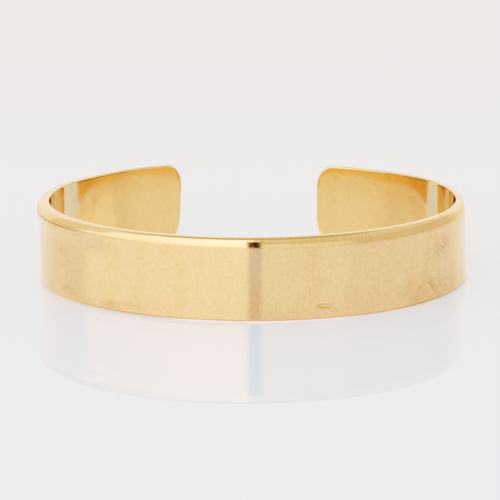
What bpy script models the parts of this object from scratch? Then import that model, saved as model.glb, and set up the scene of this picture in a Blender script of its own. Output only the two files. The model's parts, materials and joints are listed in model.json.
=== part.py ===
"""Open cuff bracelet, bent from one strip of brass.

The strip is a long blank with rounded ends. Its outer top edge is filed to a narrow bevel, its other
edges are only eased, and it is bent round an oval that is a little wider than it is deep. The gap for the
wrist is at the back. The two halves were bent by hand, so each has its own depth and its own reach
towards the gap.

Metres, +Z up. The cuff lies on its lower edge, its front faces -Y, and the origin is on the surface it
lies on, under the middle of its box.
"""

import math

import bmesh
import bpy
import numpy as np

MM = 0.001

# The bent oval, measured on the outer face
CUFF_WIDTH = 64.0 * MM
FRONT_DEPTH = 26.2 * MM
LEFT_BACK_DEPTH = 24.3 * MM
RIGHT_BACK_DEPTH = 23.0 * MM

# How far each end stops from the middle of the gap
LEFT_END_REACH = 10.25 * MM
RIGHT_END_REACH = 11.4 * MM

# The strip. Its end corners are quarters of an upright oval: their length lies along the strip, and their
# rise across it.
STRIP_WIDTH = 12.0 * MM
STRIP_THICKNESS = 1.5 * MM
END_CORNER_LENGTH = 2.8 * MM
END_CORNER_RISE = 4.4 * MM

# The filed bevel along the outer top edge, and the round between it and the narrow top face
BEVEL_DROP = 1.38 * MM
BEVEL_DEPTH = 0.42 * MM
BEVEL_ROUND = 0.14 * MM

# The eased edges
BOTTOM_EASE_RISE = 0.4 * MM
BOTTOM_EASE_DEPTH = 0.22 * MM
INNER_EASE = 0.2 * MM
END_EASE = 0.3 * MM

# How finely the bend and the end corners are divided
BEND_STEP = 1.4 * MM
CORNER_STEPS = 7
EASE_STEPS = 2
OVAL_SAMPLES = 4000

BRASS_COLOUR = (0.93, 0.70, 0.36, 1.0)
BRASS_ROUGHNESS = 0.16


class HalfOval:
    """One half of the outer face's oval, from the middle of the front round to its end at the gap."""

    def __init__(self, side, back_depth, end_reach):
        half_width = CUFF_WIDTH / 2
        turn_at_end = math.pi - math.asin(end_reach / half_width)
        turn = np.linspace(0.0, turn_at_end, OVAL_SAMPLES)
        # A plain ellipse in front of the widest line. Behind it the curve swells just enough to leave
        # that line with the bend it came with.
        swell = FRONT_DEPTH / back_depth - 1
        front = -FRONT_DEPTH * np.cos(turn)
        back = -back_depth * np.cos(turn) * (1 + swell * np.sin(turn) ** 2)
        self.x = side * half_width * np.sin(turn)
        self.y = np.where(turn < math.pi / 2, front, back)
        step_x = np.gradient(self.x)
        step_y = np.gradient(self.y)
        step = np.hypot(step_x, step_y)
        self.out_x = side * step_y / step
        self.out_y = -side * step_x / step
        pieces = np.hypot(np.diff(self.x), np.diff(self.y))
        self.along = np.concatenate([[0.0], np.cumsum(pieces)])
        self.length = float(self.along[-1])

    def place(self, distance):
        """Point on the outer face, and outward direction, at a distance from the middle of the front."""
        values = (self.x, self.y, self.out_x, self.out_y)
        x, y, out_x, out_y = (float(np.interp(distance, self.along, value)) for value in values)
        return (x, y), (out_x, out_y)


def end_corner_rise():
    """The corners' rise, limited so that the end keeps a straight stretch between its two corners."""
    room = STRIP_WIDTH - BEVEL_DROP - BOTTOM_EASE_RISE
    return min(END_CORNER_RISE, 0.45 * room)


def distances_along(half):
    """Distances from the middle of the front at which the strip gets a section, finer at the end corner."""
    straight = half.length - END_CORNER_LENGTH
    count = math.ceil(straight / BEND_STEP)
    distances = [straight * step / count for step in range(count + 1)]
    for step in range(1, CORNER_STEPS + 1):
        angle = math.pi / 2 * step / CORNER_STEPS
        distances.append(straight + END_CORNER_LENGTH * math.sin(angle))
    return distances


def round_off(length, rise, to_end):
    """How much an oval corner of this length and rise takes off, at a distance before its end."""
    if to_end >= length:
        return 0.0
    return rise * (1 - math.sqrt(1 - (1 - to_end / length) ** 2))


def eased_corner(depth, height, depth_size, height_size):
    """A quarter round at one corner of the section, from its horizontal face to its upright face."""
    points = []
    for step in range(EASE_STEPS + 1):
        angle = math.pi / 2 * step / EASE_STEPS
        in_by = depth_size * (1 - math.sin(angle))
        off_by = height_size * (1 - math.cos(angle))
        points.append((depth + in_by, height + off_by))
    return points


def section(to_end):
    """The strip's section as (depth behind the outer face, height), going round from the inner bottom."""
    drop = round_off(END_CORNER_LENGTH, end_corner_rise(), to_end)
    bottom = drop
    top = STRIP_WIDTH - drop
    inner_bottom = eased_corner(STRIP_THICKNESS, bottom, -INNER_EASE, INNER_EASE)
    inner_top = eased_corner(STRIP_THICKNESS, top, -INNER_EASE, -INNER_EASE)
    outer_bottom = eased_corner(0.0, bottom, BOTTOM_EASE_DEPTH, BOTTOM_EASE_RISE)
    slope = BEVEL_DEPTH / BEVEL_DROP
    bevel = [
        (0.0, top - BEVEL_DROP),
        (BEVEL_DEPTH - slope * BEVEL_ROUND, top - BEVEL_ROUND),
        (BEVEL_DEPTH + BEVEL_ROUND, top),
    ]
    ring = outer_bottom + bevel + inner_top + inner_bottom[::-1]
    squeeze = 1 - 2 * round_off(END_EASE, END_EASE, to_end) / STRIP_THICKNESS
    middle = STRIP_THICKNESS / 2
    return [(middle + (depth - middle) * squeeze, height) for depth, height in ring]


def ring_at(mesh, half, distance):
    """Adds the closed ring of edges of one section, where it stands on the oval."""
    (x, y), (out_x, out_y) = half.place(distance)
    corners = []
    for depth, height in section(half.length - distance):
        corners.append(mesh.verts.new((x - out_x * depth, y - out_y * depth, height)))
    following = corners[1:] + corners[:1]
    return corners, [mesh.edges.new(pair) for pair in zip(corners, following)]


def put_origin_under_middle(mesh):
    """Moves the mesh so that the origin is under the middle of its box, on the surface it lies on."""
    places = np.array([corner.co for corner in mesh.verts])
    lowest = places.min(axis=0)
    highest = places.max(axis=0)
    middle = (lowest + highest) / 2
    bmesh.ops.translate(mesh, verts=mesh.verts, vec=(-middle[0], -middle[1], -lowest[2]))


def polished_brass():
    """Bright yellow brass, buffed to a soft mirror."""
    material = bpy.data.materials.new("polished_brass")
    material.use_nodes = True
    surface = material.node_tree.nodes["Principled BSDF"]
    surface.inputs["Base Color"].default_value = BRASS_COLOUR
    surface.inputs["Metallic"].default_value = 1.0
    surface.inputs["Roughness"].default_value = BRASS_ROUGHNESS
    return material


def cuff_band():
    """The whole strip: sections set along the oval from the left end to the right one, then joined."""
    left = HalfOval(-1, LEFT_BACK_DEPTH, LEFT_END_REACH)
    right = HalfOval(1, RIGHT_BACK_DEPTH, RIGHT_END_REACH)
    mesh = bmesh.new()
    rings = [ring_at(mesh, left, distance) for distance in reversed(distances_along(left))]
    rings += [ring_at(mesh, right, distance) for distance in distances_along(right)[1:]]
    for (_, edges), (_, next_edges) in zip(rings, rings[1:]):
        bmesh.ops.bridge_loops(mesh, edges=edges + next_edges)
    for corners, _ in (rings[0], rings[-1]):
        mesh.faces.new(corners)
    put_origin_under_middle(mesh)
    bmesh.ops.recalc_face_normals(mesh, faces=mesh.faces)
    data = bpy.data.meshes.new("cuff_band")
    mesh.to_mesh(data)
    mesh.free()
    data.shade_smooth()
    data.set_sharp_from_angle(angle=math.radians(12.0))
    data.materials.append(polished_brass())
    cuff = bpy.data.objects.new("cuff_band", data)
    bpy.context.scene.collection.objects.link(cuff)
    return cuff


def clear_scene():
    """Removes every object that is in the scene at the start."""
    for thing in list(bpy.data.objects):
        bpy.data.objects.remove(thing, do_unlink=True)


clear_scene()
cuff_band()
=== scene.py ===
import bisect
import json
import math

import bmesh
import bpy
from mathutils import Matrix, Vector

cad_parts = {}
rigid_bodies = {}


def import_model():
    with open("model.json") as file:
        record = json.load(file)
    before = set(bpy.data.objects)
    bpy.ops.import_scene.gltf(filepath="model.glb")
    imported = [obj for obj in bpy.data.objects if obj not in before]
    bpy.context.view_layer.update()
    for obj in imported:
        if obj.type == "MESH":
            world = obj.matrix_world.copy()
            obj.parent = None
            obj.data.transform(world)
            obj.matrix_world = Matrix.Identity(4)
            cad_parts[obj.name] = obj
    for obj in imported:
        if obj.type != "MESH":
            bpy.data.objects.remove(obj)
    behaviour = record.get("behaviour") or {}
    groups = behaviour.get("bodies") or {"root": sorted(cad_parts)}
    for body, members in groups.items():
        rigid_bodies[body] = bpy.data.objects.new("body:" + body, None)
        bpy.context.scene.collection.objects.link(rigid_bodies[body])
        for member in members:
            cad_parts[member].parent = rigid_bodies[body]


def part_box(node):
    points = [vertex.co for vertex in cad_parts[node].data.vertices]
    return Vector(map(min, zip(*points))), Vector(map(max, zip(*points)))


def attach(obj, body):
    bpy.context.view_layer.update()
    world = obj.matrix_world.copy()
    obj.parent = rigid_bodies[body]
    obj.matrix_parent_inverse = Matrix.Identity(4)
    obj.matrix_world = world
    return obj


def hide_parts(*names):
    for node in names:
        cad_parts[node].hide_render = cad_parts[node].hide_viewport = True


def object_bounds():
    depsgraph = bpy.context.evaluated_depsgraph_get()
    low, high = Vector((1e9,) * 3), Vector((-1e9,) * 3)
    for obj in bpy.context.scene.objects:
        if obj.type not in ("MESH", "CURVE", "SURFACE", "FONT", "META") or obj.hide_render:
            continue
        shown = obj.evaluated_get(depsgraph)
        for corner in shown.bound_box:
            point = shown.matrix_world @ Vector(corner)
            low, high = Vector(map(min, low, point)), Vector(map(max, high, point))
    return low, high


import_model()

bl_info = {
    "name": "Open Cuff Bracelet",
    "version": (1, 0, 0),
    "blender": (4, 5, 0),
    "location": "3D Viewport > Sidebar > Cuff",
    "description": "Makes a polished brass cuff from a flat blank, and the white tent that it is shown in",
    "category": "Object",
}

MM = 0.001
BAND_NODE = "cuff_band"
CAD_LOW, CAD_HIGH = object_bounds()

# How near a point counts as lying in a plane, and how near to a point a cut may pass without a new one
NEAR = 0.002 * MM
CUT_THRESHOLD = 0.0005 * MM

# The end corners: their steps, and their fullness, where 0.5 makes a quarter of an oval
CORNER_SEGMENTS = 14
CORNER_FULLNESS = 0.58

# How wide the blank's edges are rounded, and in how many steps
OUTER_EASE = 0.28 * MM
INNER_EASE = 0.2 * MM
EASE_SEGMENTS = 4
BEVEL_TOP_ROUND = 0.42 * MM
BEVEL_BORDER_ROUND = 0.6 * MM
BEVEL_SEGMENTS = 8

# How finely the oval and the blank are divided: the blank along its length, over the bevel, just below it
# and over the lower half
OVAL_STEPS = 480
SECTION_LENGTH = 0.6 * MM
BEVEL_STEPS = 8
BELOW_BEVEL_STEP = 0.45 * MM
BELOW_BEVEL_CUTS = 8
LOWER_HALF_STEP = 0.8 * MM
LOWER_HALF_CUTS = 7

# Where along the strip each mark of hand work starts, is full, starts to fall off and ends, from the front's
# middle and positive to the right. The leans and the ends are the same on both sides.
FAR_OFF = 1.0
FLARE_RANGE = (-62 * MM, -50 * MM, -37 * MM, -19 * MM)
FOOT_FLARE_RANGE = (34 * MM, 46 * MM, 54 * MM, 64 * MM)
BELLY_RANGE = (-40 * MM, 10 * MM, 36 * MM, 56 * MM)
LEAN_RANGE = (46 * MM, 58 * MM, 65 * MM, 74 * MM)
END_RANGE = (62 * MM, 76 * MM, FAR_OFF, 2 * FAR_OFF)

# The length over which the bevel changes at the front's middle, and how far below its border the rim's
# unevenness and its flare reach
BEVEL_CHANGE = 8 * MM
UNEVEN_RIM = 3.6 * MM
FLARED_RIM = 2.6 * MM
# How much of the thickness, from the outer face inwards, the hand work on that face moves
OUTER_PART = 0.6

# How bright each light in the scene is shown, both linear, and the light that the curve ends at
TONE_WHITE = 2.0
TONE = (
    (0.03, 0.0), (0.06, 0.015), (0.116, 0.058), (0.15, 0.1), (0.2, 0.17), (0.24, 0.23), (0.34, 0.365),
    (0.41, 0.435), (0.53, 0.555), (0.65, 0.665), (0.81, 0.76), (1.0, 0.855), (1.12, 0.905), (1.4, 0.99))

# Scratches and small stains, in millimetres on the flat blank: how far right of the front's middle, how far
# above the middle of its width, half length, half width, angle in degrees and how dark. All but the last are
# seen on the outer face; the last is a spot near the right end, where both faces are marked.
MARKS = (
    (-33.6, 1.3, 1.2, 0.07, 86, 0.55),
    (-33.1, 2.6, 0.5, 0.06, 70, 0.4),
    (-29.9, 3.9, 0.45, 0.07, 25, 0.6),
    (-31.9, -4.3, 0.35, 0.10, 80, 0.6),
    (-31.2, -4.7, 0.3, 0.08, 100, 0.5),
    (-30.6, -4.4, 0.25, 0.08, 60, 0.45),
    (-30.0, -4.9, 0.3, 0.07, 95, 0.45),
    (-24.5, -4.3, 0.9, 0.05, 20, 0.35),
    (-22.4, -4.6, 0.8, 0.05, -25, 0.35),
    (-20.3, -4.2, 0.7, 0.05, -40, 0.3),
    (-18.6, -4.9, 1.0, 0.05, 10, 0.3),
    (-13.4, -1.2, 0.9, 0.06, -30, 0.35),
    (-12.2, -2.0, 0.6, 0.06, 50, 0.3),
    (-10.8, -1.6, 0.7, 0.05, 5, 0.25),
    (-8.6, 2.2, 1.3, 0.06, 62, 0.3),
    (-4.9, 2.6, 1.2, 0.06, -12, 0.35),
    (-3.2, 3.1, 0.8, 0.05, 15, 0.3),
    (17.0, 3.6, 0.6, 0.06, -35, 0.3),
    (20.4, 1.9, 0.8, 0.05, 40, 0.3),
    (24.8, -2.6, 0.9, 0.06, 35, 0.4),
    (27.9, 3.7, 0.45, 0.09, 85, 0.5),
    (28.9, 1.2, 0.5, 0.07, 75, 0.45),
    (30.2, -0.4, 0.4, 0.08, 95, 0.5),
    (31.4, 2.3, 0.75, 0.09, 88, 0.7),
    (31.4, 2.3, 0.35, 0.10, 5, 0.7),
    (32.7, 0.6, 0.6, 0.08, 80, 0.5),
    (33.4, 3.1, 0.5, 0.08, 95, 0.45),
    (68.8, 3.8, 0.25, 0.2, 20, 0.5),
)
# One long oval scratch low on the right, as the outer and the inner border of its ring: along, height, half
# length and half width, and the angle of both
OVAL_SCRATCH = ((9.2, -4.2, 1.5, 0.5), (9.4, -4.15, 1.2, 0.28))
OVAL_SCRATCH_ANGLE = -4
# Thin dark lines of painted shade, in the same millimetres: where along the strip each starts, is full, starts
# to fall off and ends, its height, half width and how dark. The first is a painted shadow under the pushed-out
# rim on the left, the others painted shade along the lower edge.
PAINTED_SHADE_LINES = (
    (-46, -40, -33, -27, 4.62, 0.13, 1.0),
    (21, 28, 36, 42, -5.2, 0.09, 0.35),
    (14, 26, 40, 46, -5.82, 0.14, 0.8),
    (-75, -70, 70, 75, -5.85, 0.1, 0.5),
)
# The places where fine dark specks gather, as middle, height and the two half spreads
SPECKLED = (
    (29.0, -3.9, 13.0, 3.4),
    (31.0, 1.5, 4.5, 3.6),
    (-31.3, -4.4, 2.6, 1.1),
    (-22.0, -4.9, 9.0, 0.9),
)

# How large the clouds and grains in the metal's polish are
CLOUD_SIZE = 6 * MM
GRAIN_SIZE = 0.45 * MM
HAZE_SIZE = 0.5 * MM
SPECK_SIZE = 0.36 * MM
STAIN_SIZE = 1.6 * MM
# How wide and how deep the metal's waves, its brushed lines and its marks are, and how unsteady its scratches
WAVE_SIZE = 5 * MM
WAVE_DEPTH = 0.02 * MM
BRUSHING_SIZE = 0.3 * MM
BRUSHING_DEPTH = 0.0006 * MM
MARK_DEPTH = 0.002 * MM
SHAKE_SIZE = 0.7 * MM
SHAKE = 0.6 * MM
# Depths below the outer face: where that face's marks and painted shade lines end, and where the inner face
# starts
MARKS_END = (0.9 * MM, 0.6 * MM)
SHADE_LINES_END = (0.6 * MM, 0.4 * MM)
INNER_FACE = (1.2 * MM, 1.4 * MM)
# How far from the front's middle the inner face is marked too
MARKED_INSIDE = (42 * MM, 45 * MM)

# The sheet: its width, how strongly its acrylic bends light, and how soft its mirror is
SHEET_WIDTH = 6.0
ACRYLIC_IOR = 1.49
SKIN_ROUGHNESS = 0.015
# Where the painted golden pool of light and the painted highlight line lie, as shares of the cuff's half sizes
PAINTED_POOL_EDGE = (1.0, 0.95)
LINE_OUTSIDE = (1.0, 0.98)
LINE_INSIDE = (0.94, 0.96)
LINE_SIDES = (0.46, 0.26)
LINE_BACK = (0.0, -0.1)

# Where each part of the tent starts and is full. The numbers are parts of a direction, from -1 to 1: sideways
# is positive to the right, backwards is away from the camera, and upwards is above the table.
SLIT_BESIDE = (0.04, 0.06)
SLIT_ABOVE = (0.35, 0.42)
SLIT_BELOW = (0.03, -0.01)
SLIT_BEHIND = (-0.3, 0.0)
RIGHT_HALF = (-0.05, 0.05)
BACK_WALL = (0.4, 0.85)
ROOF = (0.8, 0.9)
LEFT_BESIDE_SLIT = (-0.6, -0.9)
LEFT_LAMP = (0.24, 0.34)
LEFT_CORNER = (-0.8, -0.1)
LEFT_SIDE = (-0.1, 0.15)
MIRRORED_FROM = (0.17, 0.21)
MIRRORED_TO = (0.3, 0.26)
RIGHT_BESIDE_SLIT = (-0.6, -0.85)
RIGHT_ABOVE_FOOT = (0.25, 0.32)
RIGHT_TOP = (0.25, 0.6)
ABOVE_FOOT = (0.19, 0.25)
OFF_LAMP_BEHIND = (0.0, 0.15)
OFF_LAMP_END = (0.8, 0.5)

# The camera's aim, its sensor, and how near and far it sees
CAMERA_AIM = Vector((-0.34 * MM, 2.5 * MM, 3.58 * MM))
SENSOR_WIDTH = 36.0
NEAREST_SEEN = 0.01
FARTHEST_SEEN = 50.0


def linear(hex_colour):
    """A colour written as sRGB hex, as the linear value that shaders take."""
    channels = [int(hex_colour[place:place + 2], 16) / 255 for place in (1, 3, 5)]
    bent = [c / 12.92 if c <= 0.04045 else ((c + 0.055) / 1.055) ** 2.4 for c in channels]
    return (*bent, 1.0)


def add_node(tree, kind, settings=None, inputs=None):
    """Adds one node, with its settings, and its inputs as values or as links from other sockets."""
    node = tree.nodes.new(kind)
    for name, value in (settings or {}).items():
        setattr(node, name, value)
    for name, value in (inputs or {}).items():
        socket = node.inputs[name]
        if isinstance(value, bpy.types.NodeSocket):
            tree.links.new(value, socket)
        else:
            socket.default_value = value
    return node


# The cuff: its sizes

class CuffSizes(bpy.types.PropertyGroup):
    """The sizes of the strip and of the oval that it is bent round."""

    cuff_width: bpy.props.FloatProperty(
        name="Cuff width", description="Outside, across the widest line",
        default=64.0 * MM, unit="LENGTH", precision=4)
    front_depth: bpy.props.FloatProperty(
        name="Front depth", description="From the widest line to the front of the outer face",
        default=26.2 * MM, unit="LENGTH", precision=4)
    left_back_depth: bpy.props.FloatProperty(
        name="Left back depth", description="From the widest line to where the left half would close",
        default=24.3 * MM, unit="LENGTH", precision=4)
    right_back_depth: bpy.props.FloatProperty(
        name="Right back depth", description="From the widest line to where the right half would close",
        default=23.0 * MM, unit="LENGTH", precision=4)
    left_end_reach: bpy.props.FloatProperty(
        name="Left end reach", description="From the middle of the gap to the left end",
        default=10.25 * MM, unit="LENGTH", precision=4)
    right_end_reach: bpy.props.FloatProperty(
        name="Right end reach", description="From the middle of the gap to the right end",
        default=11.4 * MM, unit="LENGTH", precision=4)
    strip_width: bpy.props.FloatProperty(
        name="Strip width", description="Height of the band as it lies",
        default=CAD_HIGH.z - CAD_LOW.z, unit="LENGTH", precision=4)
    strip_thickness: bpy.props.FloatProperty(
        name="Strip thickness", description="Thickness of the metal",
        default=1.5 * MM, unit="LENGTH", precision=4)
    end_corner_length: bpy.props.FloatProperty(
        name="End corner length", description="How far each round corner reaches along the strip",
        default=2.8 * MM, unit="LENGTH", precision=4)
    end_corner_rise: bpy.props.FloatProperty(
        name="End corner rise", description="How far each round corner reaches across the strip",
        default=4.4 * MM, unit="LENGTH", precision=4)
    left_end_skew: bpy.props.FloatProperty(
        name="Left end skew", description="How much shorter the left end was cut along its lower edge",
        default=0.6 * MM, unit="LENGTH", precision=4)
    bevel_drop: bpy.props.FloatProperty(
        name="Bevel drop",
        description="How far the filed bevel reaches down the outer face, at the front's middle",
        default=1.38 * MM, unit="LENGTH", precision=4)
    bevel_angle: bpy.props.FloatProperty(
        name="Bevel angle", description="Angle between the filed bevel and the outer face",
        default=math.radians(17.0), subtype="ANGLE")
    bevel_shift: bpy.props.FloatProperty(
        name="Bevel shift", description="How much further down the bevel reaches right of the front's middle",
        default=0.2 * MM, unit="LENGTH", precision=4)
    bevel_twist: bpy.props.FloatProperty(
        name="Bevel twist", description="How much more the file took off its top right of the front's middle",
        default=0.09 * MM, unit="LENGTH", precision=4)
    bevel_crown: bpy.props.FloatProperty(
        name="Bevel crown", description="How far the bevel swells in the middle of its width",
        default=0.05 * MM, unit="LENGTH", precision=4)
    flare: bpy.props.FloatProperty(
        name="Flare", description="How far the rim was pushed outwards on the left side",
        default=0.42 * MM, unit="LENGTH", precision=4)
    left_lean: bpy.props.FloatProperty(
        name="Left lean", description="How far the wall leans outwards between the left side and its end",
        default=math.radians(1.0), subtype="ANGLE")
    right_lean: bpy.props.FloatProperty(
        name="Right lean", description="How far the wall leans outwards between the right side and its end",
        default=math.radians(1.6), subtype="ANGLE")
    left_end_lift: bpy.props.FloatProperty(
        name="Left end lift", description="How far the left end springs up off the surface",
        default=0.15 * MM, unit="LENGTH", precision=4)
    right_end_lift: bpy.props.FloatProperty(
        name="Right end lift", description="How far the right end springs up off the surface",
        default=0.1 * MM, unit="LENGTH", precision=4)
    left_end_spread: bpy.props.FloatProperty(
        name="Left end spread", description="How much wider the strip is at its left end",
        default=0.3 * MM, unit="LENGTH", precision=4)
    right_end_spread: bpy.props.FloatProperty(
        name="Right end spread", description="How much wider the strip is at its right end",
        default=0.12 * MM, unit="LENGTH", precision=4)
    foot_flare: bpy.props.FloatProperty(
        name="Foot flare", description="How far the lower edge was pushed outwards on the right side",
        default=0.35 * MM, unit="LENGTH", precision=4)
    belly: bpy.props.FloatProperty(
        name="Belly", description="How much lower the strip's edge hangs right of the front's middle",
        default=0.25 * MM, unit="LENGTH", precision=4)


def half_oval(sizes, side, back_depth, end_reach):
    """Points along one half of the outer face's oval, from the middle of the front round to its end."""
    half_width = sizes.cuff_width / 2
    turn_at_end = math.pi - math.asin(end_reach / half_width)
    swell = sizes.front_depth / back_depth - 1
    points = []
    for step in range(OVAL_STEPS + 1):
        turn = turn_at_end * step / OVAL_STEPS
        depth = sizes.front_depth
        if turn > math.pi / 2:
            depth = back_depth * (1 + swell * math.sin(turn) ** 2)
        points.append(Vector((side * half_width * math.sin(turn), -depth * math.cos(turn), 0.0)))
    return points


class BendLine:
    """The line that the outer face is bent along, from the left end by way of the front to the right end."""

    def __init__(self, sizes):
        left = half_oval(sizes, -1, sizes.left_back_depth, sizes.left_end_reach)
        right = half_oval(sizes, 1, sizes.right_back_depth, sizes.right_end_reach)
        self.points = left[:0:-1] + right
        self.distances = [0.0]
        for before, after in zip(self.points, self.points[1:]):
            self.distances.append(self.distances[-1] + (after - before).length)
        self.length = self.distances[-1]
        self.front = self.distances[len(left) - 1]

    def heading(self, distance):
        """The way that the line runs at a distance from the left end."""
        after = min(max(bisect.bisect_left(self.distances, distance), 1), len(self.points) - 1)
        share = (distance - self.distances[after - 1]) / (self.distances[after] - self.distances[after - 1])
        return self.chord(after - 1).lerp(self.chord(after), share).normalized()

    def chord(self, station):
        """The way from one neighbour of a station to the other."""
        before = self.points[max(station - 1, 0)]
        after = self.points[min(station + 1, len(self.points) - 1)]
        return (after - before).normalized()


# The cuff: cutting, filing and bending the blank

def deselect_everything():
    """Leaves nothing selected, so that an operator acts only on what is added next."""
    for thing in bpy.context.scene.objects:
        thing.select_set(False)


def select_corners(blank, chosen):
    """Selects the corners of the blank, in edit mode, that pass a test."""
    bpy.ops.mesh.select_all(action="DESELECT")
    mesh = bmesh.from_edit_mesh(blank.data)
    for corner in mesh.verts:
        corner.select_set(chosen(corner.co))
    bmesh.update_edit_mesh(blank.data)


def select_edges(blank, chosen, shortest=0.0):
    """Selects the edges of the blank, in edit mode, whose two ends both pass a test."""
    bpy.ops.mesh.select_all(action="DESELECT")
    mesh = bmesh.from_edit_mesh(blank.data)
    for edge in mesh.edges:
        if edge.calc_length() > shortest and all(chosen(corner.co) for corner in edge.verts):
            edge.select_set(True)
    bmesh.update_edit_mesh(blank.data)


def add_blank(sizes, length):
    """The flat blank, along X from the left end, with its outer face at Y 0 and rounded corners."""
    stretch = sizes.end_corner_rise / sizes.end_corner_length
    deselect_everything()
    bpy.ops.mesh.primitive_plane_add(size=1.0, location=(length / 2, 0, 0), rotation=(math.pi / 2, 0, 0))
    blank = bpy.context.active_object
    blank.scale = (length, sizes.strip_width / stretch, 1.0)
    bpy.ops.object.transform_apply(location=True, rotation=True, scale=True)
    bpy.ops.object.mode_set(mode="EDIT")
    bpy.ops.mesh.select_mode(type="VERT")
    select_corners(blank, lambda place: place.x < NEAR and place.z < 0)
    bpy.ops.transform.translate(value=(sizes.left_end_skew, 0, 0))
    bpy.ops.mesh.select_all(action="SELECT")
    bpy.ops.mesh.bevel(
        offset=sizes.end_corner_length, segments=CORNER_SEGMENTS, profile=CORNER_FULLNESS, affect="VERTICES")
    bpy.ops.mesh.select_all(action="SELECT")
    bpy.ops.transform.resize(value=(1, 1, stretch), center_override=(0, 0, 0))
    bpy.ops.mesh.select_mode(type="EDGE")
    bpy.ops.mesh.select_all(action="SELECT")
    bpy.ops.mesh.extrude_region_move(TRANSFORM_OT_translate={"value": (0, sizes.strip_thickness, 0)})
    bpy.ops.mesh.select_all(action="SELECT")
    bpy.ops.mesh.normals_make_consistent(inside=False)
    return blank


def ease_edges(blank, sizes):
    """Rounds the long outlines of both faces, right round the ends."""
    select_edges(blank, lambda place: abs(place.y) < NEAR)
    bpy.ops.mesh.bevel(offset=OUTER_EASE, segments=EASE_SEGMENTS, profile=0.5, affect="EDGES")
    select_edges(blank, lambda place: abs(place.y - sizes.strip_thickness) < NEAR)
    bpy.ops.mesh.bevel(offset=INNER_EASE, segments=EASE_SEGMENTS, profile=0.5, affect="EDGES")


def file_bevel(blank, sizes, line):
    """Files the bevel along the outer upper edge, and softens its borders."""
    top = sizes.strip_width / 2
    border = top - sizes.bevel_drop
    outwards = Vector((0.0, -math.cos(sizes.bevel_angle), math.sin(sizes.bevel_angle)))
    bpy.ops.mesh.select_all(action="SELECT")
    bpy.ops.mesh.bisect(
        plane_co=(line.front, 0, border), plane_no=outwards,
        use_fill=True, clear_outer=True, threshold=CUT_THRESHOLD)
    select_edges(
        blank, lambda place: abs(place.z - top) < NEAR and place.y < sizes.strip_thickness / 2,
        shortest=line.length / 2)
    bpy.ops.mesh.bevel(offset=BEVEL_TOP_ROUND, segments=BEVEL_SEGMENTS, profile=0.5, affect="EDGES")
    select_edges(
        blank, lambda place: abs(place.y) < NEAR and place.z > top / 2, shortest=line.length / 2)
    bpy.ops.mesh.bevel(offset=BEVEL_BORDER_ROUND, segments=BEVEL_SEGMENTS, profile=0.5, affect="EDGES")


def cut_across(blank, sizes, line):
    """Cuts the blank into narrow sections along its length and across its rim, so that it bends smoothly."""
    sections = round(line.length / SECTION_LENGTH)
    top = sizes.strip_width / 2
    border = top - sizes.bevel_drop
    heights = [border + sizes.bevel_drop * step / BEVEL_STEPS for step in range(1, BEVEL_STEPS - 1)]
    heights += [border - BELOW_BEVEL_STEP * step for step in range(1, BELOW_BEVEL_CUTS + 1)]
    heights += [-LOWER_HALF_STEP * step for step in range(LOWER_HALF_CUTS)]
    cuts = [((line.length * step / sections, 0, 0), (1, 0, 0)) for step in range(1, sections)]
    cuts += [((0, 0, height), (0, 0, 1)) for height in heights]
    for place, across in cuts:
        bpy.ops.mesh.select_all(action="SELECT")
        bpy.ops.mesh.bisect(plane_co=place, plane_no=across, threshold=CUT_THRESHOLD)


def rise_and_fall(value, start, full, falling, end):
    """0 up to start, 1 from full to falling, and 0 again from end, with soft slopes between."""
    rise = min(max((value - start) / (full - start), 0.0), 1.0)
    fall = min(max((end - value) / (end - falling), 0.0), 1.0)
    share = min(rise, fall)
    return share * share * (3 - 2 * share)


def work_whole_strip(place, along, sizes):
    """Moves a point as the bending did: the walls lean, the ends widen and the lower edge hangs down."""
    top = sizes.strip_width / 2
    lean = sizes.left_lean if along < 0 else sizes.right_lean
    place.y -= math.tan(lean * rise_and_fall(abs(along), *LEAN_RANGE)) * place.z
    spread = sizes.left_end_spread if along < 0 else sizes.right_end_spread
    place.z *= 1 + spread / sizes.strip_width * rise_and_fall(abs(along), *END_RANGE)
    if place.z < 0:
        place.z -= sizes.belly * rise_and_fall(along, *BELLY_RANGE) * (place.z / top) ** 2


def work_foot(place, along, sizes):
    """Pushes a point near the lower edge outwards, on the right side."""
    if place.z < 0:
        foot = rise_and_fall(along, *FOOT_FLARE_RANGE)
        place.y -= sizes.foot_flare * foot * (place.z / (sizes.strip_width / 2)) ** 2


def work_rim(place, along, sizes):
    """Moves a point of the upper rim as the file and the bending did."""
    top = sizes.strip_width / 2
    border = top - sizes.bevel_drop
    turn = math.tanh(along / BEVEL_CHANGE)
    height = max(0.0, (place.z - border) / sizes.bevel_drop)
    # The bevel is filed deeper and further down on the right, and it is a little round, most so there.
    place.y += sizes.bevel_twist * turn * height * height
    place.y -= sizes.bevel_crown * (1 + 0.4 * turn) * 4 * height * (1 - height)
    # On the left side the rim is pushed outwards, most at the bevel's lower border.
    flare = rise_and_fall(along, *FLARE_RANGE)
    flare *= rise_and_fall(place.z, border - FLARED_RIM, border, border + 0.1 * MM, top + 0.5 * MM)
    place.y -= sizes.flare * flare
    from_border = abs(place.z - border) / (sizes.bevel_drop if place.z > border else UNEVEN_RIM)
    place.z -= sizes.bevel_shift * turn * max(0.0, 1 - from_border)


def work_by_hand(blank, sizes, line):
    """The uneven marks of hand work on the strip and on its outer face."""
    rim_start = sizes.strip_width / 2 - sizes.bevel_drop - UNEVEN_RIM
    for corner in blank.data.vertices:
        place = corner.co
        along = place.x - line.front
        work_whole_strip(place, along, sizes)
        if place.y > sizes.strip_thickness * OUTER_PART:
            continue
        if place.z < rim_start:
            work_foot(place, along, sizes)
        else:
            work_rim(place, along, sizes)


def spring_up(blank, sizes, line):
    """Lifts the two ends a little, as the bent strip springs."""
    for corner in blank.data.vertices:
        along = corner.co.x - line.front
        lift = sizes.left_end_lift if along < 0 else sizes.right_end_lift
        corner.co.z += lift * rise_and_fall(abs(along), *END_RANGE)


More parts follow.
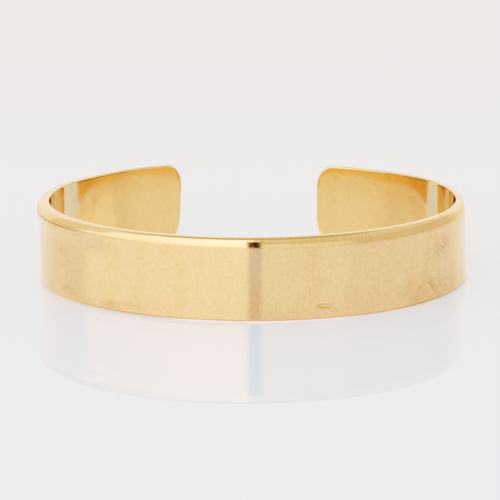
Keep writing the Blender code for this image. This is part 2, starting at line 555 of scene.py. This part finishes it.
def keep_flat_places(blank, line):
    """Stores where each point lay on the flat blank, seen from the front's middle, for the patterns."""
    flat = blank.data.attributes.new("on_blank", "FLOAT_VECTOR", "POINT")
    places = [value for corner in blank.data.vertices for value in (corner.co.x - line.front, *corner.co.yz)]
    flat.data.foreach_set("vector", places)


def flat_normals(blank):
    """Each point's distance along the flat blank and the way it faces, led by the broad faces beside it."""
    bpy.ops.object.shade_smooth()
    weighting = blank.modifiers.new("broad faces lead", "WEIGHTED_NORMAL")
    weighting.mode = "FACE_AREA"
    weighting.weight = 50
    bpy.ops.object.modifier_apply(modifier=weighting.name)
    sums = [Vector() for _ in blank.data.vertices]
    for loop, normal in zip(blank.data.loops, blank.data.corner_normals):
        sums[loop.vertex_index] += normal.vector
    return [(corner.co.x, total.normalized()) for corner, total in zip(blank.data.vertices, sums)]


def bend(blank, line):
    """Bends the blank along the line, and turns the way that each point faces with it."""
    facing = flat_normals(blank)
    guide = bpy.data.curves.new("mandrel", "CURVE")
    guide.dimensions = "3D"
    guide.twist_mode = "Z_UP"
    spline = guide.splines.new("POLY")
    spline.points.add(len(line.points) - 1)
    for point, place in zip(spline.points, line.points):
        point.co = (*place, 1.0)
    mandrel = bpy.data.objects.new("mandrel", guide)
    bpy.context.scene.collection.objects.link(mandrel)
    bender = blank.modifiers.new("bend", "CURVE")
    bender.object = mandrel
    bender.deform_axis = "POS_X"
    bpy.ops.object.modifier_apply(modifier=bender.name)
    bpy.data.objects.remove(mandrel, do_unlink=True)
    turned = []
    for distance, normal in facing:
        ahead = line.heading(distance)
        inwards = Vector((-ahead.y, ahead.x, 0.0))
        turned.append(ahead * normal.x + inwards * normal.y + Vector((0, 0, normal.z)))
    blank.data.normals_split_custom_set_from_vertices(turned)


def seat(band, line):
    """Moves the band so that its bend line and its height fill the box of the frame's solid."""
    low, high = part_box(BAND_NODE)
    for axis in (0, 1):
        reach = [place[axis] for place in line.points]
        band.location[axis] = (low[axis] + high[axis] - min(reach) - max(reach)) / 2
    band.location.z = (low.z + high.z) / 2
    bpy.ops.object.transform_apply(location=True, rotation=True, scale=True)


# The cuff: its finish

class BrassFinish(bpy.types.PropertyGroup):
    """The colours and polish of the metal."""

    bright: bpy.props.StringProperty(
        name="Bright brass", description="The freshly polished metal, as sRGB hex", default="#FED3A1")
    warm: bpy.props.StringProperty(
        name="Warm brass", description="Faint warmer clouds in the polish, as sRGB hex", default="#F3C48C")
    inner: bpy.props.StringProperty(
        name="Inner brass", description="The inner face, which saw less wear, as sRGB hex", default="#F4D7AF")
    # This colour also paints the lines of painted shade under the left rim and along the lower edge.
    tarnish_and_shade: bpy.props.StringProperty(
        name="Tarnish", description="Small dull specks and scratches, as sRGB hex", default="#86602A")
    roughness: bpy.props.FloatProperty(
        name="Roughness", description="How soft the mirror is", default=0.07, min=0.0, max=1.0)
    # This strength also scales the lines of painted shade.
    worn: bpy.props.FloatProperty(
        name="Wear", description="How strongly the scratches and specks show", default=1.0, min=0.0)


def math_node(tree, operation, *values):
    """The result of one sum on sockets or numbers."""
    return add_node(tree, "ShaderNodeMath", {"operation": operation}, dict(enumerate(values))).outputs["Value"]


def ramp(tree, value, start, end, low=0.0, high=1.0):
    """Goes from low to high as a value goes from start to end."""
    return add_node(tree, "ShaderNodeMapRange", None, {
        "Value": value, "From Min": start, "From Max": end, "To Min": low, "To Max": high}).outputs["Result"]


def noise(tree, place, size, detail=2.0, roughness=0.5):
    """Cloudy noise whose largest clouds are about this size, in metres."""
    return add_node(tree, "ShaderNodeTexNoise", None, {
        "Vector": place, "Scale": 1 / size, "Detail": detail, "Roughness": roughness})


def stretched(tree, place, size):
    """The same place, measured in units of a size of its own along each of its three directions."""
    divided = add_node(tree, "ShaderNodeVectorMath", {"operation": "DIVIDE"}, {0: place, 1: size})
    return divided.outputs["Vector"]


def oval_patch(tree, place, middle, half_sizes, angle, edge):
    """1 inside an oval on the blank's face, running out to 0 at its rim; an edge of 1 runs out all the way."""
    seen = add_node(tree, "ShaderNodeMapping", {"vector_type": "TEXTURE"}, {
        "Vector": place, "Location": (middle[0] * MM, 0.0, middle[1] * MM),
        "Rotation": (0.0, -math.radians(angle), 0.0), "Scale": (half_sizes[0] * MM, 1.0, half_sizes[1] * MM)})
    off = add_node(tree, "ShaderNodeVectorMath", {"operation": "LENGTH"}, {0: seen.outputs["Vector"]})
    return ramp(tree, off.outputs["Value"], 1.0, 1.0 - edge)


def scratches(tree, place):
    """The single scratches and stains, drawn with a slightly unsteady line."""
    unsteady = noise(tree, place, SHAKE_SIZE, 3.0, 0.6)
    shaken = add_node(tree, "ShaderNodeVectorMath", {"operation": "MULTIPLY_ADD"}, {
        0: unsteady.outputs["Color"], 1: (SHAKE,) * 3, 2: place})
    shaken = add_node(tree, "ShaderNodeVectorMath", {"operation": "SUBTRACT"}, {
        0: shaken.outputs["Vector"], 1: (SHAKE / 2,) * 3}).outputs["Vector"]
    total = 0.0
    for along, height, half_length, half_width, angle, darkness in MARKS:
        line = oval_patch(tree, shaken, (along, height), (half_length, half_width), angle, 0.9)
        total = math_node(tree, "MAXIMUM", total, math_node(tree, "MULTIPLY", line, darkness))
    outer, inner = (
        oval_patch(tree, shaken, border[:2], border[2:], OVAL_SCRATCH_ANGLE, edge)
        for border, edge in zip(OVAL_SCRATCH, (0.5, 0.6)))
    ring = math_node(tree, "SUBTRACT", outer, math_node(tree, "MULTIPLY", inner, 0.8))
    return math_node(tree, "MAXIMUM", total, math_node(tree, "MULTIPLY", ring, 0.4))


def specks(tree, place):
    """Fine dark specks over a faint stain, gathered in a few places and rare elsewhere."""
    gathered = 0.15
    for along, height, half_length, half_height in SPECKLED:
        patch = oval_patch(tree, place, (along, height), (half_length, half_height), 0, 1.0)
        gathered = math_node(tree, "MAXIMUM", gathered, patch)
    grains = noise(tree, place, SPECK_SIZE, 3.0, 0.7).outputs["Fac"]
    least = ramp(tree, gathered, 0.0, 1.0, 0.74, 0.5)
    over = math_node(tree, "SUBTRACT", grains, least)
    stain = noise(tree, place, STAIN_SIZE, 5.0, 0.7).outputs["Fac"]
    stain = math_node(tree, "MULTIPLY", ramp(tree, stain, 0.4, 0.62, 0.0, 0.3), gathered)
    return math_node(tree, "MAXIMUM", ramp(tree, over, 0.0, 0.1, 0.0, 0.75), stain)


def painted_shade_lines(tree, place):
    """Thin dark lines of painted shade: a painted shadow under the pushed-out rim on the left, and painted
    shade along the lower edge.
    """
    along, depth, height = add_node(tree, "ShaderNodeSeparateXYZ", None, {"Vector": place}).outputs
    total = 0.0
    for start, full, falling, end, level, half_width, darkness in PAINTED_SHADE_LINES:
        begun = ramp(tree, along, start * MM, full * MM)
        here = math_node(tree, "MINIMUM", begun, ramp(tree, along, end * MM, falling * MM))
        off = math_node(tree, "ABSOLUTE", math_node(tree, "SUBTRACT", height, level * MM))
        line = math_node(tree, "MULTIPLY", ramp(tree, off, half_width * MM, 0.0), here)
        total = math_node(tree, "MAXIMUM", total, math_node(tree, "MULTIPLY", line, darkness))
    return math_node(tree, "MULTIPLY", total, ramp(tree, depth, *SHADE_LINES_END))


def polished_brass(finish):
    """Yellow brass, rolled to strip, then filed, buffed on a wheel and worn for a while.

    The eye gets a soft golden mirror, with faint upright bands, hair-fine scratches, a few dull specks and thin
    lines of painted shade.
    """
    material = bpy.data.materials.new("polished_brass")
    material.use_nodes = True
    tree = material.node_tree
    surface = tree.nodes["Principled BSDF"]
    flat = add_node(tree, "ShaderNodeAttribute", {"attribute_name": "on_blank"}).outputs["Vector"]

    # Faint warmer clouds and a fine grain, both taller than they are wide, and weaker on the inner face.
    clouds = noise(tree, stretched(tree, flat, (0.8, 1.0, 2.4)), CLOUD_SIZE, 4.0, 0.6).outputs["Fac"]
    grain = noise(tree, stretched(tree, flat, (1.0, 1.0, 1.4)), GRAIN_SIZE, 3.0, 0.7).outputs["Fac"]
    along, depth, _ = add_node(tree, "ShaderNodeSeparateXYZ", None, {"Vector": flat}).outputs
    within = ramp(tree, depth, *INNER_FACE)
    warmth = math_node(
        tree, "ADD", ramp(tree, clouds, 0.4, 0.65, -0.1, 0.35), ramp(tree, grain, 0.35, 0.65, -0.3, 0.5))
    warmth = math_node(tree, "MULTIPLY", warmth, ramp(tree, within, 0.0, 1.0, 1.0, 0.35))
    side = add_node(tree, "ShaderNodeMix", {"data_type": "RGBA"}, {
        "Factor": within, "A": linear(finish.bright), "B": linear(finish.inner)})
    polish_colour = add_node(tree, "ShaderNodeMix", {"data_type": "RGBA"}, {
        "Factor": warmth, "A": side.outputs["Result"], "B": linear(finish.warm)})
    dull = math_node(tree, "MAXIMUM", scratches(tree, flat), specks(tree, flat))
    # The marks are on the outer face, and inside only towards the ends.
    off_front = math_node(tree, "ABSOLUTE", along)
    marked = math_node(
        tree, "MAXIMUM", ramp(tree, depth, *MARKS_END), ramp(tree, off_front, *MARKED_INSIDE))
    dull = math_node(tree, "MULTIPLY", dull, marked)
    # Thin lines of painted shade join the marks here: a painted shadow under the left rim and painted shade
    # along the lower edge.
    dull = math_node(tree, "MAXIMUM", dull, painted_shade_lines(tree, flat))
    dull = math_node(tree, "MULTIPLY", dull, finish.worn)
    colour = add_node(tree, "ShaderNodeMix", {"data_type": "RGBA"}, {
        "Factor": dull, "A": polish_colour.outputs["Result"], "B": linear(finish.tarnish_and_shade)})
    tree.links.new(colour.outputs["Result"], surface.inputs["Base Color"])

    # The polish is softer in hazy places, in the marks and in the painted shade lines.
    haze = noise(tree, flat, HAZE_SIZE, 4.0, 0.65).outputs["Fac"]
    polish = ramp(tree, haze, 0.3, 0.75, finish.roughness * 0.6, finish.roughness * 1.8)
    polish = math_node(tree, "ADD", polish, math_node(tree, "MULTIPLY", dull, 0.25))
    tree.links.new(polish, surface.inputs["Roughness"])

    # The strip is not quite flat, and the buffing wheel left fine upright lines across it.
    waves = noise(tree, stretched(tree, flat, (1.0, 1.0, 1.8)), WAVE_SIZE, 1.0).outputs["Fac"]
    brushing = noise(tree, stretched(tree, flat, (1.0, 1.0, 12.0)), BRUSHING_SIZE, 2.0, 0.6).outputs["Fac"]
    height = math_node(tree, "MULTIPLY", waves, WAVE_DEPTH)
    height = math_node(tree, "ADD", height, math_node(tree, "MULTIPLY", brushing, BRUSHING_DEPTH))
    height = math_node(tree, "SUBTRACT", height, math_node(tree, "MULTIPLY", dull, MARK_DEPTH))
    relief = add_node(tree, "ShaderNodeBump", None, {"Height": height, "Strength": 1.0, "Distance": 1.0})
    tree.links.new(relief.outputs["Normal"], surface.inputs["Normal"])
    surface.inputs["Metallic"].default_value = 1.0
    return material


class CUFF_OT_make_band(bpy.types.Operator):
    """Cut, file and bend the brass strip, and give it its finish"""

    bl_idname = "cuff.make_band"
    bl_label = "Make Band"

    def execute(self, context):
        sizes = context.scene.cuff_sizes
        line = BendLine(sizes)
        band = add_blank(sizes, line.length)
        band.name = band.data.name = "cuff"
        ease_edges(band, sizes)
        file_bevel(band, sizes, line)
        cut_across(band, sizes, line)
        bpy.ops.object.mode_set(mode="OBJECT")
        keep_flat_places(band, line)
        work_by_hand(band, sizes, line)
        spring_up(band, sizes, line)
        bend(band, line)
        seat(band, line)
        band.data.materials.append(polished_brass(context.scene.brass_finish))
        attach(band, "root")
        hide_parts(BAND_NODE)
        return {"FINISHED"}


# The stage

class StudioSettings(bpy.types.PropertyGroup):
    """The camera, the table and the light tent."""

    skin: bpy.props.FloatProperty(
        name="Clear skin", description="Depth of the clear skin on the sheet, above the face that mirrors",
        default=0.35 * MM, unit="LENGTH", precision=4)
    azimuth: bpy.props.FloatProperty(
        name="Azimuth", description="Where the camera stands round the cuff",
        default=math.radians(-2.79), subtype="ANGLE")
    elevation: bpy.props.FloatProperty(
        name="Elevation", description="How far the camera looks down",
        default=math.radians(14.04), subtype="ANGLE")
    distance: bpy.props.FloatProperty(
        name="Distance", description="From the camera to the middle of the cuff",
        default=0.470, unit="LENGTH")
    lens: bpy.props.FloatProperty(
        name="Lens", description="Focal length on a 36 mm sensor, in millimetres", default=223.8)
    table: bpy.props.StringProperty(
        name="Table", description="The white body of the sheet under the cuff, as sRGB hex", default="#C8C8C8")
    # The golden pool is painted light: the sheet's glow turns golden inside the ring.
    pool: bpy.props.StringProperty(
        name="Golden pool", description="The glow of the sheet inside the ring, as sRGB hex", default="#F4E6C5")
    glow_tint: bpy.props.StringProperty(
        name="Glow tint", description="The cool glow of the sheet elsewhere, as sRGB hex", default="#DAE9FF")
    skin_tint: bpy.props.StringProperty(
        name="Skin tint", description="What the sheet's clear skin mirrors of white, as sRGB hex",
        default="#FFE8D0")
    table_glow: bpy.props.FloatProperty(
        name="Table glow", description="How brightly the lamp under the sheet shines through it",
        default=0.59, min=0.0)
    # The edge glow is a painted highlight: a thin brighter line in the sheet's glow under the front of the
    # metal.
    edge_glow: bpy.props.FloatProperty(
        name="Edge glow", description="Brightness of the line of light that the sheet catches under the metal",
        default=1.1, min=0.0)
    left_wall: bpy.props.FloatProperty(
        name="Left wall", description="Brightness of the tent in front on the left, near the table",
        default=1.5, min=0.0)
    left_front: bpy.props.FloatProperty(
        name="Left front", description="Brightness of the same wall just beside the slit",
        default=1.65, min=0.0)
    left_lamp: bpy.props.FloatProperty(
        name="Left lamp", description="Brightness of the same wall where the lamp stands behind it",
        default=1.85, min=0.0)
    left_side: bpy.props.FloatProperty(
        name="Left side", description="Brightness of the left side between its lamp and the back, lower down",
        default=0.75, min=0.0)
    left_corner: bpy.props.FloatProperty(
        name="Left corner", description="Brightness of the left side between its lamp and the back, higher up",
        default=0.9, min=0.0)
    right_wall: bpy.props.FloatProperty(
        name="Right wall", description="Brightness of the tent in front on the right, near the table",
        default=0.73, min=0.0)
    right_front: bpy.props.FloatProperty(
        name="Right front", description="Brightness of the same wall just beside the slit, near the table",
        default=1.0, min=0.0)
    right_wall_top: bpy.props.FloatProperty(
        name="Right wall top", description="Brightness of the same wall higher up", default=0.86, min=0.0)
    back_wall: bpy.props.FloatProperty(
        name="Back wall", description="Brightness of the tent behind the cuff", default=1.13, min=0.0)
    roof: bpy.props.FloatProperty(
        name="Roof", description="Brightness of the tent overhead", default=0.6, min=0.0)
    foot_tint: bpy.props.StringProperty(
        name="Foot tint", description="The tent's warmer cloth near the table, as sRGB hex", default="#FFF8F6")
    shade_tint: bpy.props.StringProperty(
        name="Shade tint", description="The tent's cloth away from the lamp, as sRGB hex", default="#FBFCEF")
    slit: bpy.props.FloatProperty(
        name="Slit", description="Brightness of the slit that the lens looks through", default=0.05, min=0.0)


def white_acrylic(settings):
    """Opal acrylic sheet, polished and lit from below: a softly glowing white body under a glossy skin.

    The eye gets an even white ground without shadows and a faint clear mirror image of the cuff, with a painted
    golden pool of light inside the ring and a painted highlight line under its front.
    """
    material = bpy.data.materials.new("opal_acrylic")
    material.use_nodes = True
    tree = material.node_tree
    surface = tree.nodes["Principled BSDF"]
    surface.inputs["Base Color"].default_value = linear(settings.table)
    surface.inputs["Roughness"].default_value = 1.0
    surface.inputs["IOR"].default_value = 1.0
    # Inside the ring the sheet's glow is painted golden: a painted pool of light, standing in for the light
    # that the polished wall throws down on it.
    low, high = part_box(BAND_NODE)
    place = add_node(tree, "ShaderNodeTexCoord").outputs["Object"]
    place = stretched(tree, place, ((high.x - low.x) / 2, (high.y - low.y) / 2, 1.0))
    from_middle = add_node(tree, "ShaderNodeVectorMath", {"operation": "LENGTH"}, {0: place}).outputs["Value"]
    glow = add_node(tree, "ShaderNodeMix", {"data_type": "RGBA"}, {
        "Factor": ramp(tree, from_middle, *PAINTED_POOL_EDGE), "A": linear(settings.glow_tint),
        "B": linear(settings.pool)})
    tree.links.new(glow.outputs["Result"], surface.inputs["Emission Color"])
    # Under the front of the metal a thin bright line is painted into the sheet's glow: a painted highlight.
    sideways, backwards, _ = add_node(tree, "ShaderNodeSeparateXYZ", None, {"Vector": place}).outputs
    painted_highlight_line = math_node(
        tree, "MINIMUM", ramp(tree, from_middle, *LINE_OUTSIDE), ramp(tree, from_middle, *LINE_INSIDE))
    painted_highlight_line = math_node(
        tree, "MINIMUM", painted_highlight_line, ramp(tree, math_node(tree, "ABSOLUTE", sideways), *LINE_SIDES))
    painted_highlight_line = math_node(tree, "MINIMUM", painted_highlight_line, ramp(tree, backwards, *LINE_BACK))
    strength = ramp(tree, painted_highlight_line, 0.0, 1.0, settings.table_glow, settings.edge_glow)
    tree.links.new(strength, surface.inputs["Emission Strength"])
    # The clear skin mirrors more, the more the light slants.
    mirror = add_node(tree, "ShaderNodeBsdfGlossy", None, {
        "Color": linear(settings.skin_tint), "Roughness": SKIN_ROUGHNESS})
    slanting = add_node(tree, "ShaderNodeFresnel", None, {"IOR": ACRYLIC_IOR})
    sheet = add_node(tree, "ShaderNodeMixShader", None, {
        0: slanting.outputs["Fac"], 1: surface.outputs["BSDF"], 2: mirror.outputs["BSDF"]})
    tree.links.new(sheet.outputs["Shader"], tree.nodes["Material Output"].inputs["Surface"])
    return material


def light_tent(settings):
    """Lights the scene from a white tent all round, with a dark slit in front for the lens."""
    world = bpy.data.worlds.new("light_tent")
    world.use_nodes = True
    bpy.context.scene.world = world
    tree = world.node_tree
    apart = add_node(tree, "ShaderNodeSeparateXYZ", None, {
        "Vector": add_node(tree, "ShaderNodeTexCoord").outputs["Generated"]})

    def share(value, start, end):
        """Rises softly from 0 to 1 as the value goes from start to end."""
        return add_node(tree, "ShaderNodeMapRange", {"interpolation_type": "SMOOTHSTEP"}, {
            "Value": value, "From Min": start, "From Max": end}).outputs["Result"]

    def between(factor, low, high):
        """Goes from low to high as the factor goes from 0 to 1."""
        return add_node(tree, "ShaderNodeMapRange", None, {
            "Value": factor, "To Min": low, "To Max": high}).outputs["Result"]

    sideways, backwards, upwards = apart.outputs
    # The lamp's light fades towards the left side, except in a low band that the table mirrors.
    low = between(share(backwards, *LEFT_BESIDE_SLIT), settings.left_wall, settings.left_front)
    lamp = between(share(upwards, *LEFT_LAMP), low, settings.left_lamp)
    lamp = between(share(backwards, *LEFT_CORNER), lamp, settings.left_corner)
    low = between(share(backwards, *LEFT_SIDE), low, settings.left_side)
    mirrored = math_node(tree, "MINIMUM", share(upwards, *MIRRORED_FROM), share(upwards, *MIRRORED_TO))
    left = between(mirrored, lamp, low)
    right = between(share(backwards, *RIGHT_BESIDE_SLIT), settings.right_wall, settings.right_front)
    right = between(share(upwards, *RIGHT_ABOVE_FOOT), right, settings.right_wall)
    right = between(share(upwards, *RIGHT_TOP), right, settings.right_wall_top)
    walls = between(share(sideways, *RIGHT_HALF), left, right)
    walls = between(share(backwards, *BACK_WALL), walls, settings.back_wall)
    walls = between(share(upwards, *ROOF), walls, settings.roof)
    # The slit stands straight in front, towards the camera. All round it the walls are clear of it.
    clear = share(math_node(tree, "ABSOLUTE", sideways), *SLIT_BESIDE)
    for way, border in ((upwards, SLIT_ABOVE), (upwards, SLIT_BELOW), (backwards, SLIT_BEHIND)):
        clear = math_node(tree, "MAXIMUM", clear, share(way, *border))
    # The cloth is a little warmer near the table, and a little greener away from the lamp.
    background = tree.nodes["Background"]
    warm_foot = add_node(tree, "ShaderNodeMix", {"data_type": "RGBA"}, {
        "Factor": share(upwards, *ABOVE_FOOT), "A": linear(settings.foot_tint), "B": (1.0, 1.0, 1.0, 1.0)})
    off_lamp = math_node(
        tree, "MAXIMUM", share(sideways, *RIGHT_HALF), share(backwards, *OFF_LAMP_BEHIND))
    off_lamp = math_node(tree, "MINIMUM", off_lamp, share(backwards, *OFF_LAMP_END))
    cloth = add_node(tree, "ShaderNodeMix", {"data_type": "RGBA"}, {
        "Factor": off_lamp, "A": warm_foot.outputs["Result"], "B": linear(settings.shade_tint)})
    tree.links.new(cloth.outputs["Result"], background.inputs["Color"])
    tree.links.new(between(clear, settings.slit, walls), background.inputs["Strength"])


def set_tone(view):
    """Gives the picture the contrast of a camera: deeper darks, and lights that run softly into white."""
    view.view_transform = "Standard"
    view.use_curve_mapping = True
    view.curve_mapping.white_level = (TONE_WHITE,) * 3
    # The first three curves are for single colours, the fourth is for all of them.
    curve = view.curve_mapping.curves[3]
    for light, shown in TONE:
        curve.points.new(light / TONE_WHITE, shown)
    view.curve_mapping.update()


def add_camera(settings):
    """The camera, on a long lens, a little above the table."""
    back = Vector((
        math.sin(settings.azimuth) * math.cos(settings.elevation),
        -math.cos(settings.azimuth) * math.cos(settings.elevation),
        math.sin(settings.elevation)))
    lens = bpy.data.cameras.new("camera")
    lens.lens = settings.lens
    lens.sensor_width = SENSOR_WIDTH
    lens.clip_start = NEAREST_SEEN
    lens.clip_end = FARTHEST_SEEN
    camera = bpy.data.objects.new("camera", lens)
    camera.location = CAMERA_AIM + back * settings.distance
    camera.rotation_euler = (-back).to_track_quat("-Z", "Y").to_euler()
    bpy.context.scene.collection.objects.link(camera)
    bpy.context.scene.camera = camera


class CUFF_OT_make_stage(bpy.types.Operator):
    """Add the glossy table, the light tent and the camera"""

    bl_idname = "cuff.make_stage"
    bl_label = "Make Stage"

    def execute(self, context):
        settings = context.scene.studio_settings
        deselect_everything()
        bpy.ops.mesh.primitive_plane_add(size=SHEET_WIDTH, location=(0, 0, -settings.skin))
        table = bpy.context.active_object
        table.name = table.data.name = "table"
        table.data.materials.append(white_acrylic(settings))
        light_tent(settings)
        add_camera(settings)
        set_tone(context.scene.view_settings)
        return {"FINISHED"}


class CUFF_PT_panel(bpy.types.Panel):
    """Lists the sizes, the finish, the stage and their two operators"""

    bl_idname = "CUFF_PT_panel"
    bl_label = "Open Cuff"
    bl_space_type = "VIEW_3D"
    bl_region_type = "UI"
    bl_category = "Cuff"

    def draw(self, context):
        for group, operator in (
                (context.scene.cuff_sizes, CUFF_OT_make_band),
                (context.scene.brass_finish, None),
                (context.scene.studio_settings, CUFF_OT_make_stage)):
            column = self.layout.column()
            for name in group.__annotations__:
                column.prop(group, name)
            if operator:
                column.operator(operator.bl_idname)


CLASSES = (CuffSizes, BrassFinish, StudioSettings, CUFF_OT_make_band, CUFF_OT_make_stage, CUFF_PT_panel)


def register():
    for each in CLASSES:
        bpy.utils.register_class(each)
    bpy.types.Scene.cuff_sizes = bpy.props.PointerProperty(type=CuffSizes)
    bpy.types.Scene.brass_finish = bpy.props.PointerProperty(type=BrassFinish)
    bpy.types.Scene.studio_settings = bpy.props.PointerProperty(type=StudioSettings)


def unregister():
    for name in ("cuff_sizes", "brass_finish", "studio_settings"):
        delattr(bpy.types.Scene, name)
    for each in reversed(CLASSES):
        bpy.utils.unregister_class(each)


def main():
    register()
    bpy.ops.cuff.make_stage()
    bpy.ops.cuff.make_band()


if __name__ == "__main__":
    main()
